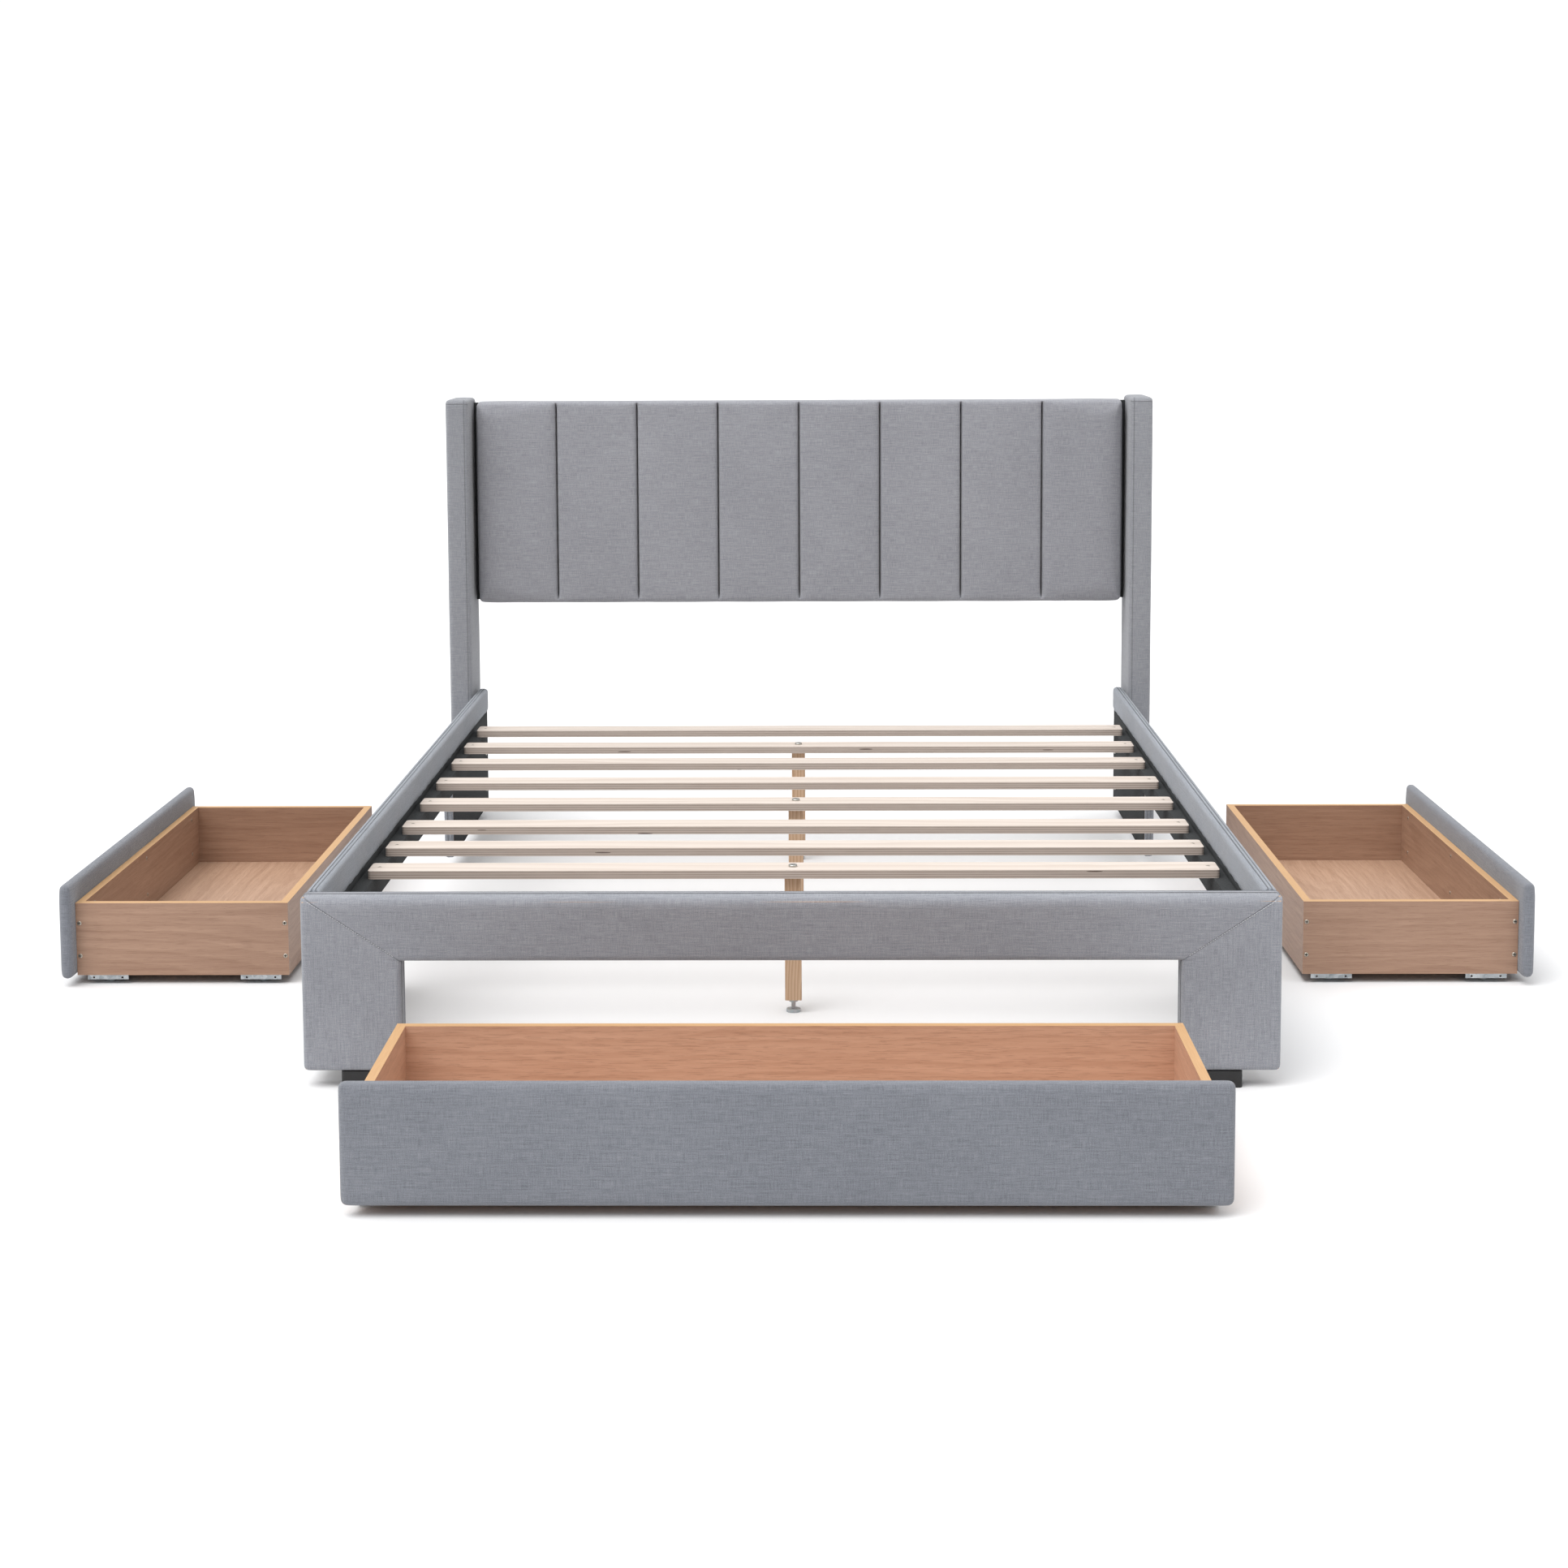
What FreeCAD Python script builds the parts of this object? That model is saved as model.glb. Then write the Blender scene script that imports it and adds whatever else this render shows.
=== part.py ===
import FreeCAD, Part
import math
import os

from FreeCAD import Placement, Rotation, Vector

# A queen-size platform bed with a winged, channelled headboard and three drawers on casters.
# Millimetres. While building, Y starts at the footboard's front face and runs to the head,
# X starts on the centre plane and Z on the floor. save() moves Y to the row's origin.

# Driving dimensions
MATTRESS_WIDTH, MATTRESS_LENGTH = 1524, 2032
INNER_HALF = MATTRESS_WIDTH / 2 + 13          # half the clear width between the rails
RAIL_THICK = 25
OUTER_HALF = INNER_HALF + RAIL_THICK
COVER = 3.5                                   # fabric over thin wadding
LINING = 1.2                                  # black non-woven cloth
BOARD_EASING = 4                              # planed off the boards' edges under the wadding
RAIL_TOP = 321
PILLAR_BOTTOM = 28                            # underside of the rails' and footboard's pillars
BAY_TOP = 212                                 # top of the three drawer bays
FLAP_BOTTOM = 268                             # where the cover's inner flap ends

FOOTBOARD_DEPTH = 48
FOOT_BAY_HALF = 636.5
RAIL_END = 2170
SIDE_BAY = (592, 1568)                        # along Y
FOOT_SIZE = (60, 44)                          # plastic feet, as tall as PILLAR_BOTTOM
FOOT_OUTER = 738

WING_THICK, WING_PAD = 55, 5
WING_FRONT, WING_BACK, WING_TOP = 2065, 2225, 1042
GLIDE_HEIGHT = 6
PAD_HALF = 791
PANEL_BOTTOM, PANEL_TOP = 539, 1033
PAD_FRONT, BOARD_FRONT, BOARD_BACK = 2125, 2180, 2198
CHANNELS, CHANNEL_BULGE = 8, 14

SLAT_LENGTH, SLAT_WIDTH, SLAT_THICK = 1526, 64, 15
SLAT_FRONTS = (188, 413, 598, 787, 1005, 1223, 1445, 1644, 1862)   # laid by hand, so uneven
LEDGER_DEPTH, LEDGER_BOTTOM, LEDGER_TOP = 25, 210, 252
LEG_SIZE, LEG_BOTTOM = 30, 24
LEG_SLATS = (1, 4, 7)                         # slats that carry a centre leg

FRONT_THICK, FRONT_BOTTOM, FRONT_TOP = 25, 16, 196
BOX_DEPTH, BOX_BOTTOM, BOX_TOP = 402, 17, 156
WALL = 15
PANEL_Z = (27, 32)                            # drawer bottom, held in grooves
GROOVE = 5
SIDE_FRONT, SIDE_BOX = 960, 900
FOOT_FRONT, FOOT_BOX = 1260, 1232
SIDE_OUT, FOOT_OUT = 582, 585                 # how far each drawer stands out at rest
SIDE_CENTRE = sum(SIDE_BAY) / 2

WHEEL_RADIUS, WHEEL_WIDTH = 12.5, 15
AXLE_RADIUS, BORE_RADIUS = 2.0, 2.08
CASTER_LENGTH, CASTER_SHEET = 77, 1.5
CASTER_FLANGES = (0.5, 36)                    # outer faces of the two flanges, in from the box's end
CASTER_Y = (58, 348)                          # wheel centres, from the box's front
CASTER_INSET = 25.6                           # wheel centre plane, in from the box's end

BOLT_RADIUS, BOLT_HOLE, BOLT_HEAD = 4.0, 4.3, 8.0
REST_CENTRE_Y = (WING_BACK - FOOT_OUT) / 2    # middle of the bed with its drawers out

os.makedirs("parts", exist_ok=True)


def block(x, y, z):
    """A box from three (low, high) ranges."""
    size = [high - low for low, high in (x, y, z)]
    return Part.makeBox(*size, Vector(x[0], y[0], z[0]))


def eased(board, size, edges=None):
    """The board with its sharp edges planed off, so that the wadding turns softly over them."""
    return board.makeChamfer(size, edges or board.Edges)


def rod(radius, start, end):
    """A round rod between two points."""
    start, end = Vector(*start), Vector(*end)
    return Part.makeCylinder(radius, (end - start).Length, start, end - start)


def mirrored(shape):
    return shape.mirror(Vector(0, 0, 0), Vector(1, 0, 0))


def both_sides(solids):
    return solids + [mirrored(solid) for solid in solids]


def save(name, *solids):
    shape = solids[0].copy() if len(solids) == 1 else Part.makeCompound(solids)
    shape.translate(Vector(0, -REST_CENTRE_Y, 0))
    shape.exportStep("parts/" + name + ".step")


def save_pair(name, shape):
    """The shape is made for +X, the right-hand side seen from the foot."""
    save("right_" + name, shape)
    save("left_" + name, mirrored(shape))


def bolt(seat, direction, length, radius=BOLT_RADIUS, head=BOLT_HEAD):
    """A pan-head bolt. The seat is the point under its head; the shank runs along direction."""
    seat, direction = Vector(*seat), Vector(*direction)
    shank = Part.makeCylinder(radius, length, seat, direction)
    cap = Part.makeCylinder(head, 4, seat, direction * -1)
    rim = [edge for edge in cap.Edges if abs((edge.CenterOfMass - seat).Length - 4) < 0.1]
    return cap.makeFillet(1.8, [edge for edge in rim if len(edge.Vertexes) == 1]).fuse(shank)


# Bolts, placed before the boards that they pass through

RAIL_BOLTS = [(2117, z) for z in (80, 170)]             # rail into wing: Y, Z
BRACKET_BOLT_Z = (95, 145)
PANEL_BRACKET_Z = (640, 930)
LINING_FACE = INNER_HALF + COVER - LINING               # the rail lining's inner face
FOOT_LINING_FACE = FOOTBOARD_DEPTH - COVER + LINING
PANEL_LINING_FACE = BOARD_BACK + LINING


def bolt_holes():
    """Clearance holes for every bolt on the +X side."""
    holes = []
    for y, z in RAIL_BOLTS:
        holes.append(rod(BOLT_HOLE, (LINING_FACE - 3, y, z), (LINING_FACE + 62, y, z)))
    for z in BRACKET_BOLT_Z:
        holes.append(rod(BOLT_HOLE, (742, 26, z), (742, 60, z)))
        holes.append(rod(BOLT_HOLE, (LINING_FACE - 5, 80, z), (LINING_FACE + 17, 80, z)))
    for z in PANEL_BRACKET_Z:
        holes.append(rod(3.3, (768, BOARD_FRONT + 2, z), (768, BOARD_BACK + 6, z)))
        holes.append(rod(3.3, (794, 2212, z), (836, 2212, z)))
    return Part.makeCompound(holes)


HOLES = bolt_holes()
ALL_HOLES = Part.makeCompound([HOLES, mirrored(HOLES)])


def corner_brackets():
    """Two steel angles at the footboard and four small ones behind the headboard panel."""
    thick = 3
    low, high = LINING_FACE - 60, LINING_FACE
    back = FOOT_LINING_FACE
    on_foot = block((low, high), (back, back + thick), (70, 170))
    on_rail = block((high - thick, high), (back + thick, back + 60), (70, 170))
    angles = [on_foot.fuse(on_rail).removeSplitter().cut(HOLES)]
    sheet = 2
    for z in PANEL_BRACKET_Z:
        tall = (z - 20, z + 20)
        on_panel = block((745, OUTER_HALF), (PANEL_LINING_FACE, PANEL_LINING_FACE + sheet), tall)
        on_wing = block((OUTER_HALF - sheet, OUTER_HALF), (PANEL_LINING_FACE, WING_BACK - 1), tall)
        angles.append(on_panel.fuse(on_wing).removeSplitter().cut(HOLES))
    return both_sides(angles)


def bed_bolts():
    bolts = [bolt((LINING_FACE, y, z), (1, 0, 0), 60) for y, z in RAIL_BOLTS]
    for z in BRACKET_BOLT_Z:
        bolts.append(bolt((742, FOOT_LINING_FACE + 3, z), (0, -1, 0), 20))
        bolts.append(bolt((LINING_FACE - 3, 80, z), (1, 0, 0), 17))
    for z in PANEL_BRACKET_Z:
        bolts.append(bolt((768, PANEL_LINING_FACE + 2, z), (0, -1, 0), 17, 3, 6))
        bolts.append(bolt((798, 2212, z), (1, 0, 0), 36, 3, 6))
    return both_sides(bolts)


save("corner_brackets", *corner_brackets())
save("bed_bolts", *bed_bolts())


# Headboard: plywood panel, channelled pad, two upholstered wings

def headboard_pad():
    """A pad whose front is eight shallow upright arcs, extruded from bottom to top."""
    pitch = 2 * PAD_HALF / CHANNELS
    groove_y = PAD_FRONT + CHANNEL_BULGE
    edges = []
    for channel in range(CHANNELS):
        low = -PAD_HALF + channel * pitch
        ends = Vector(low, groove_y, 0), Vector(low + pitch, groove_y, 0)
        crest = Vector(low + pitch / 2, PAD_FRONT, 0)
        edges.append(Part.Arc(ends[0], crest, ends[1]).toShape())
    corners = [Vector(PAD_HALF, groove_y, 0), Vector(PAD_HALF, BOARD_FRONT, 0),
               Vector(-PAD_HALF, BOARD_FRONT, 0), Vector(-PAD_HALF, groove_y, 0)]
    edges += Part.makePolygon(corners).Edges
    pad = Part.Face(Part.Wire(Part.__sortEdges__(edges))).extrude(Vector(0, 0, PANEL_TOP - PANEL_BOTTOM))
    pad.translate(Vector(0, 0, PANEL_BOTTOM))
    return pad


panel = block((-OUTER_HALF, OUTER_HALF), (BOARD_FRONT, BOARD_BACK),
              (PANEL_BOTTOM + COVER, PANEL_TOP - COVER))
save("headboard_board", panel.cut(ALL_HOLES))
save("headboard_pad", headboard_pad())

wing_x = (OUTER_HALF, OUTER_HALF + WING_THICK)
wing_y = (WING_FRONT, WING_BACK)
wing_outer = block(wing_x, wing_y, (GLIDE_HEIGHT, WING_TOP))
wing_outer = wing_outer.makeFillet(4, [e for e in wing_outer.Edges if e.BoundBox.ZLength > 900])
wing_frame = block((wing_x[0] + WING_PAD, wing_x[1] - WING_PAD),
                   (wing_y[0] + WING_PAD, wing_y[1] - WING_PAD),
                   (GLIDE_HEIGHT, WING_TOP - WING_PAD))
wing_frame = eased(wing_frame, BOARD_EASING)
save_pair("wing_frame", wing_frame.cut(HOLES))
save_pair("wing_cover", wing_outer.cut(wing_frame).cut(HOLES))


# Footboard and side rails: upside-down U boards, each inside a fabric cover

def portal(span, bay, z, bay_top):
    """An upside-down U that spans X and Z; the function it gives back takes the Y range."""
    def solid(y):
        return block(span, y, z).cut(block(bay, (y[0] - 1, y[1] + 1), (z[0] - 1, bay_top)))
    return solid


def turned(shape):
    """A quarter turn about Z, so that a portal stands along the bed's side."""
    shape = shape.copy()
    shape.rotate(Vector(0, 0, 0), Vector(0, 0, 1), 90)
    return shape


def upholstered(span, bay, depth, easing):
    """Board, cover and lining of one portal, its outer face at y = 0 and its inner at y = depth."""
    whole = portal(span, bay, (PILLAR_BOTTOM, RAIL_TOP), BAY_TOP)((0, depth))
    inset_span = (span[0] + COVER, span[1] - COVER)
    inset_bay = (bay[0] - COVER, bay[1] + COVER)
    inset = portal(inset_span, inset_bay, (PILLAR_BOTTOM + COVER, RAIL_TOP - COVER), BAY_TOP + COVER)
    board = inset((COVER, depth - COVER))
    top_edges = [e for e in board.Edges if e.BoundBox.ZMin > RAIL_TOP - COVER - 1]
    board = eased(board, easing, [e for e in top_edges if e.BoundBox.XLength > 100])
    open_back = block((span[0] - 1, span[1] + 1), (depth - COVER, depth + 1), (0, FLAP_BOTTOM))
    cover = whole.cut(board).cut(open_back)
    lining = inset((depth - COVER, depth - COVER + LINING))
    lining = lining.common(block(inset_span, (0, depth), (0, FLAP_BOTTOM)))
    return board, cover, lining


foot_span = (-OUTER_HALF, OUTER_HALF)
foot_bay = (-FOOT_BAY_HALF, FOOT_BAY_HALF)
foot_board, foot_cover, foot_lining = upholstered(foot_span, foot_bay, FOOTBOARD_DEPTH, 7)
save("footboard_board", foot_board.cut(ALL_HOLES))
save("footboard_cover", foot_cover)

rail_parts = []
for shape in upholstered((FOOTBOARD_DEPTH, RAIL_END), SIDE_BAY, RAIL_THICK, BOARD_EASING):
    rail = turned(shape)                       # outer face now at x = 0, inner at x = -depth
    rail.translate(Vector(OUTER_HALF, 0, 0))
    rail_parts.append(rail.cut(HOLES))
rail_board, rail_cover, rail_lining = rail_parts
save_pair("rail_board", rail_board)
save_pair("rail_cover", rail_cover)

panel_lining = block((-PAD_HALF, PAD_HALF), (BOARD_BACK, PANEL_LINING_FACE),
                     (PANEL_BOTTOM + 8, PANEL_TOP - 8))
save("linings", foot_lining.cut(ALL_HOLES), panel_lining.cut(ALL_HOLES), *both_sides([rail_lining]))

ledger = block((LINING_FACE - LEDGER_DEPTH, LINING_FACE), (FOOTBOARD_DEPTH + 4, SLAT_FRONTS[-1] + SLAT_WIDTH + 12),
               (LEDGER_BOTTOM, LEDGER_TOP))
save_pair("slat_ledger", ledger)


# What stands on the floor

def footboard_foot():
    width, depth = FOOT_SIZE
    foot = block((FOOT_OUTER - width, FOOT_OUTER), (2, 2 + depth), (0, PILLAR_BOTTOM))
    return foot.makeFillet(6, [e for e in foot.Edges if e.BoundBox.ZLength > PILLAR_BOTTOM - 1])


save("footboard_feet", *both_sides([footboard_foot()]))

wing_middle = sum(wing_x) / 2
glides = both_sides([rod(15, (wing_middle, y, 0), (wing_middle, y, GLIDE_HEIGHT))
                     for y in (WING_FRONT + 30, WING_BACK - 30)])
leg_ys = [SLAT_FRONTS[index] + SLAT_WIDTH / 2 for index in LEG_SLATS]
for y in leg_ys:
    pad = rod(13, (0, y, 0), (0, y, 5))
    stem = rod(4, (0, y, 5), (0, y, LEG_BOTTOM + 16))
    nut = rod(8, (0, y, LEG_BOTTOM - 5), (0, y, LEG_BOTTOM))
    glides.append(pad.fuse(stem).fuse(nut))
save("floor_glides", *glides)


# Slats, centre legs and the bolts that join them

def slat(front, bolted):
    board = block((-SLAT_LENGTH / 2, SLAT_LENGTH / 2), (front, front + SLAT_WIDTH),
                  (LEDGER_TOP, LEDGER_TOP + SLAT_THICK))
    board = board.makeFillet(6, [e for e in board.Edges if e.BoundBox.ZLength > SLAT_THICK - 1])
    if bolted:
        middle = front + SLAT_WIDTH / 2
        board = board.cut(rod(3.3, (0, middle, LEDGER_TOP - 1), (0, middle, LEDGER_TOP + 30)))
    return board


def support_leg(y):
    half = LEG_SIZE / 2
    leg = block((-half, half), (y - half, y + half), (LEG_BOTTOM, LEDGER_TOP))
    leg = leg.makeFillet(2, [e for e in leg.Edges if e.BoundBox.ZLength > 100])
    bolt_hole = rod(3.3, (0, y, LEDGER_TOP - 62), (0, y, LEDGER_TOP + 1))
    glide_hole = rod(4.3, (0, y, LEG_BOTTOM - 1), (0, y, LEG_BOTTOM + 18))
    return leg.cut(bolt_hole).cut(glide_hole)


for number, front in enumerate(SLAT_FRONTS):
    save("slat_%d" % (number + 1), slat(front, number in LEG_SLATS))
save("support_legs", *[support_leg(y) for y in leg_ys])
save("leg_bolts", *[bolt((0, y, LEDGER_TOP + SLAT_THICK), (0, 0, -1), 75, 3, 8) for y in leg_ys])


# Drawers. Each is made at the foot, closed, its front's outer face at y = 0, then moved.

def drawer_front(length):
    whole = block((-length / 2, length / 2), (0, FRONT_THICK), (FRONT_BOTTOM, FRONT_TOP))
    board = block((-length / 2 + COVER, length / 2 - COVER), (COVER, FRONT_THICK - COVER),
                  (FRONT_BOTTOM + COVER, FRONT_TOP - COVER))
    board = eased(board, BOARD_EASING)
    hem = 30                                   # the cloth folds round the back and is stapled
    window = block((-length / 2 + hem, length / 2 - hem), (FRONT_THICK - COVER, FRONT_THICK + 1),
                   (FRONT_BOTTOM + hem, FRONT_TOP - hem))
    return board, whole.cut(board).cut(window)


def drawer_box(length):
    """Five panels; the side panels run full depth and cover the ends of the other two."""
    half, front, back = length / 2, FRONT_THICK, FRONT_THICK + BOX_DEPTH
    z = (BOX_BOTTOM, BOX_TOP)
    reach = WALL - GROOVE
    bottom = block((-half + reach, half - reach), (front + reach, back - reach), PANEL_Z)
    inner_x = (-half + WALL, half - WALL)
    front_wall = block(inner_x, (front, front + WALL), z).cut(bottom)
    back_wall = block(inner_x, (back - WALL, back), z).cut(bottom)
    low_side = block((-half, -half + WALL), (front, back), z).cut(bottom)
    high_side = block((half - WALL, half), (front, back), z).cut(bottom)
    return front_wall, back_wall, low_side, high_side, bottom


def caster(end, y):
    """A folded steel bracket and its riveted axle pin. One flange hangs under the side panel;
    the sheet then steps up beside the panel, over the wheel, and down as the other flange."""
    inward = -1 if end > 0 else 1
    sheet, step = CASTER_SHEET, WALL + 0.3
    span = (y - CASTER_LENGTH / 2, y + CASTER_LENGTH / 2)

    def strip(low, high, z):
        return block(sorted((end + inward * low, end + inward * high)), span, z)

    outer, inner = CASTER_FLANGES
    bracket = strip(outer, outer + sheet, (8.5, BOX_BOTTOM))
    bracket = bracket.fuse(strip(outer, step + sheet, (BOX_BOTTOM - sheet, BOX_BOTTOM)))
    bracket = bracket.fuse(strip(step, step + sheet, (BOX_BOTTOM - sheet, PANEL_Z[0])))
    bracket = bracket.fuse(strip(step, inner, (PANEL_Z[0] - sheet, PANEL_Z[0])))
    bracket = bracket.fuse(strip(inner - sheet, inner, (8.5, PANEL_Z[0]))).removeSplitter()
    tips = [end + inward * (outer - 1), end + inward * (inner + 1)]
    axis = WHEEL_RADIUS
    holes = rod(AXLE_RADIUS + 0.05, (tips[0], y, axis), (tips[1], y, axis))
    for offset in (-27, 27):
        holes = holes.fuse(rod(2, (tips[0], y + offset, axis), (end + inward * 5, y + offset, axis)))
    pin = rod(AXLE_RADIUS, (tips[0], y, axis), (tips[1], y, axis))
    for tip, way in ((tips[0], inward), (tips[1], -inward)):
        pin = pin.fuse(rod(3.2, (tip, y, axis), (tip + way, y, axis)))
    return [bracket.cut(holes), pin.removeSplitter()]


def wheel(x, y):
    half = WHEEL_WIDTH / 2
    tyre = rod(WHEEL_RADIUS, (x - half, y, WHEEL_RADIUS), (x + half, y, WHEEL_RADIUS))
    tyre = tyre.makeFillet(1.5, [edge for edge in tyre.Edges if len(edge.Vertexes) == 1])
    return tyre.cut(rod(BORE_RADIUS, (x - 20, y, WHEEL_RADIUS), (x + 20, y, WHEEL_RADIUS)))


def save_drawer(name, side_names, front_length, box_length, angle, face, travel):
    """angle turns the drawer about Z; face is where its front lies when closed."""
    out = Vector(math.sin(math.radians(angle)), -math.cos(math.radians(angle)), 0)
    place = Placement(Vector(*face) + out * travel, Rotation(Vector(0, 0, 1), angle))

    def put(piece, *solids):
        moved = [solid.copy() for solid in solids]
        for solid in moved:
            solid.Placement = place.multiply(solid.Placement)
        save("%s_drawer_%s" % (name, piece), *moved)

    board, cover = drawer_front(front_length)
    front_wall, back_wall, low_side, high_side, bottom = drawer_box(box_length)
    put("front_board", board)
    put("front_cover", cover)
    put("inner_front", front_wall)
    put("back", back_wall)
    put(side_names[0] + "_side", low_side)
    put(side_names[1] + "_side", high_side)
    put("bottom", bottom)
    wheel_x = box_length / 2 - CASTER_INSET
    spots = [FRONT_THICK + y for y in CASTER_Y]
    box_ends = (-box_length / 2, box_length / 2)
    put("casters", *[solid for end in box_ends for y in spots for solid in caster(end, y)])
    for end, y in zip(("front", "rear"), spots):
        put(end + "_wheels", wheel(-wheel_x, y), wheel(wheel_x, y))



save_drawer("foot", ("left", "right"), FOOT_FRONT, FOOT_BOX, 0, (0, 0, 0), FOOT_OUT)
save_drawer("left", ("head", "foot"), SIDE_FRONT, SIDE_BOX, -90, (-OUTER_HALF, SIDE_CENTRE, 0), SIDE_OUT)
save_drawer("right", ("foot", "head"), SIDE_FRONT, SIDE_BOX, 90, (OUTER_HALF, SIDE_CENTRE, 0), SIDE_OUT)
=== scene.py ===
import math

import bpy
import numpy as np
from mathutils import Matrix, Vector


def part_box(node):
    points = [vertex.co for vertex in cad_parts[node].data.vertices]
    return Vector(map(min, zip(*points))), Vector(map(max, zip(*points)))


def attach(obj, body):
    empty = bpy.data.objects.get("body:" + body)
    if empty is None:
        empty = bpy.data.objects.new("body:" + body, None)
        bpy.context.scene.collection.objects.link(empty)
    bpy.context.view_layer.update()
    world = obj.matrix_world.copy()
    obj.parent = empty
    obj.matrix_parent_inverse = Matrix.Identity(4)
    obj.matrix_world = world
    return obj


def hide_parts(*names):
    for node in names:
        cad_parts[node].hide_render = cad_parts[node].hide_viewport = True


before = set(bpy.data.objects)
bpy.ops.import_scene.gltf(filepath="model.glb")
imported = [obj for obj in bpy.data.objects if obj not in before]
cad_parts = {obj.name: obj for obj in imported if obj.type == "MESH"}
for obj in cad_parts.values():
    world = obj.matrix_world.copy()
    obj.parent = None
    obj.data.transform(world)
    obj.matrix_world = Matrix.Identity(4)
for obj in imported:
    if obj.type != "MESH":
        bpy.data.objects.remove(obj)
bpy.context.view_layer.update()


# ---------------------------------------------------------------- Headboard pad
# One wide foam pad, covered in grey linen-look cloth and sewn down to the panel along seven
# upright seams, so that it stands out in eight channels. The cloth folds round all four edges.

def bend(radius):
    """Distances in from an edge for four even turns of its rounding."""
    return radius * (1 - np.cos(np.linspace(0, math.pi / 2, 5)[:-1]))


def even(low, high, spacing):
    return np.linspace(low, high, max(2, int(round((high - low) / spacing)) + 1))


def lines(low, high, radius, spacing):
    """Positions along one side of a box: four steps in each rounded end, even steps between."""
    middle = even(low + radius, high - radius, spacing)
    return np.concatenate([low + bend(radius), middle, (high - bend(radius))[::-1]])


def rounded_box(sides, radius):
    """A box's six faces as grids over three lists of positions. Each point is pulled back into the
    box shrunk by the radius, then pushed out of it by the radius, which rounds edges and corners."""
    points, quads, uvs, start = [], [], [], 0
    for axis in range(3):
        first, second = (axis + 1) % 3, (axis + 2) % 3
        a, b = np.meshgrid(sides[first], sides[second], indexing="ij")
        index = np.arange(a.size).reshape(a.shape)
        corners = [index[:-1, :-1], index[1:, :-1], index[1:, 1:], index[:-1, 1:]]
        quad = np.stack([c.ravel() for c in corners], axis=1)
        for level, turn in ((sides[axis][0], quad[:, ::-1]), (sides[axis][-1], quad)):
            grid = np.empty((a.size, 3))
            grid[:, axis], grid[:, first], grid[:, second] = level, a.ravel(), b.ravel()
            flat = grid[:, [0, 1] if axis == 2 else [1 - axis, 2]]
            points.append(grid)
            uvs.append(flat[turn].reshape(-1, 2))
            quads.append(turn + start)
            start += a.size
    points, quads = np.concatenate(points), np.concatenate(quads)
    _, keep, same = np.unique(np.round(points, 6), axis=0, return_index=True, return_inverse=True)
    points, quads = points[keep], same.reshape(-1)[quads]
    low = np.array([s[0] for s in sides]) + radius
    high = np.array([s[-1] for s in sides]) - radius
    core = np.clip(points, low, high)
    out = points - core
    length = np.maximum(np.linalg.norm(out, axis=1, keepdims=True), 1e-9)
    return core + out / length * radius, quads, np.concatenate(uvs)


def piece(name, points, quads, uvs=None):
    """A smooth mesh object at the origin, with its cloth's flat pattern as a UV map in metres.
    Points that no face uses are dropped."""
    used, quads = np.unique(quads, return_inverse=True)
    points, quads = points[used], quads.reshape(-1, 4)
    mesh = bpy.data.meshes.new(name)
    mesh.from_pydata(points.tolist(), [], quads.tolist())
    if uvs is not None:
        mesh.uv_layers.new(name="cut").data.foreach_set("uv", np.ascontiguousarray(uvs).ravel())
    mesh.shade_smooth()
    item = bpy.data.objects.new(name, mesh)
    bpy.context.scene.collection.objects.link(item)
    return item


def softened(item, levels=1):
    smooth = item.modifiers.new("soft surface", "SUBSURF")
    smooth.levels = smooth.render_levels = levels
    return item


PUFF_FRAMES = 20


def puffed(item, held, pressure, cap):
    """Cloth under air pressure for a few frames, its held points pinned. No point moves
    further than the cap, and the result is written into the mesh."""
    rest = np.array([v.co for v in item.data.vertices])
    item.vertex_groups.new(name="held").add(np.flatnonzero(held).tolist(), 1.0, "REPLACE")
    cloth = item.modifiers.new("puff", "CLOTH")
    cloth.settings.vertex_group_mass = "held"
    cloth.settings.use_pressure = True
    cloth.settings.uniform_pressure_force = pressure
    cloth.settings.effector_weights.gravity = 0
    cloth.point_cache.frame_start, cloth.point_cache.frame_end = 1, PUFF_FRAMES
    for frame_number in range(1, PUFF_FRAMES + 1):
        bpy.context.scene.frame_set(frame_number)
    blown = item.evaluated_get(bpy.context.evaluated_depsgraph_get()).data
    moved = np.array([v.co for v in blown.vertices]) - rest
    size = np.maximum(np.linalg.norm(moved, axis=1, keepdims=True), 1e-9)
    item.modifiers.remove(cloth)
    item.data.vertices.foreach_set("co", (rest + moved * np.minimum(1, cap / size)).ravel())
    bpy.context.scene.frame_set(1)


def fill(tree, made, inputs):
    """Gives a node's inputs, by name or number, a value or a link from another node's output."""
    for key, value in inputs.items():
        if isinstance(value, bpy.types.NodeSocket):
            tree.links.new(value, made.inputs[key])
        else:
            made.inputs[key].default_value = value


def node(tree, kind, inputs=(), **settings):
    """A shader node with some of its settings and inputs given."""
    made = tree.nodes.new("ShaderNode" + kind)
    for key, value in settings.items():
        setattr(made, key, value)
    fill(tree, made, dict(inputs))
    return made


def sums(tree, operation, *values):
    """One Math node's result."""
    return node(tree, "Math", enumerate(values), operation=operation).outputs[0]


def clamped(tree, value):
    """A value kept between 0 and 1."""
    return sums(tree, "MINIMUM", sums(tree, "MAXIMUM", value, 0.0), 1.0)


def blend(tree, share, first, second):
    """One colour turning into another as the share goes from 0 to 1."""
    return node(tree, "MixRGB", {0: share, 1: first, 2: second}).outputs[0]


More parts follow.
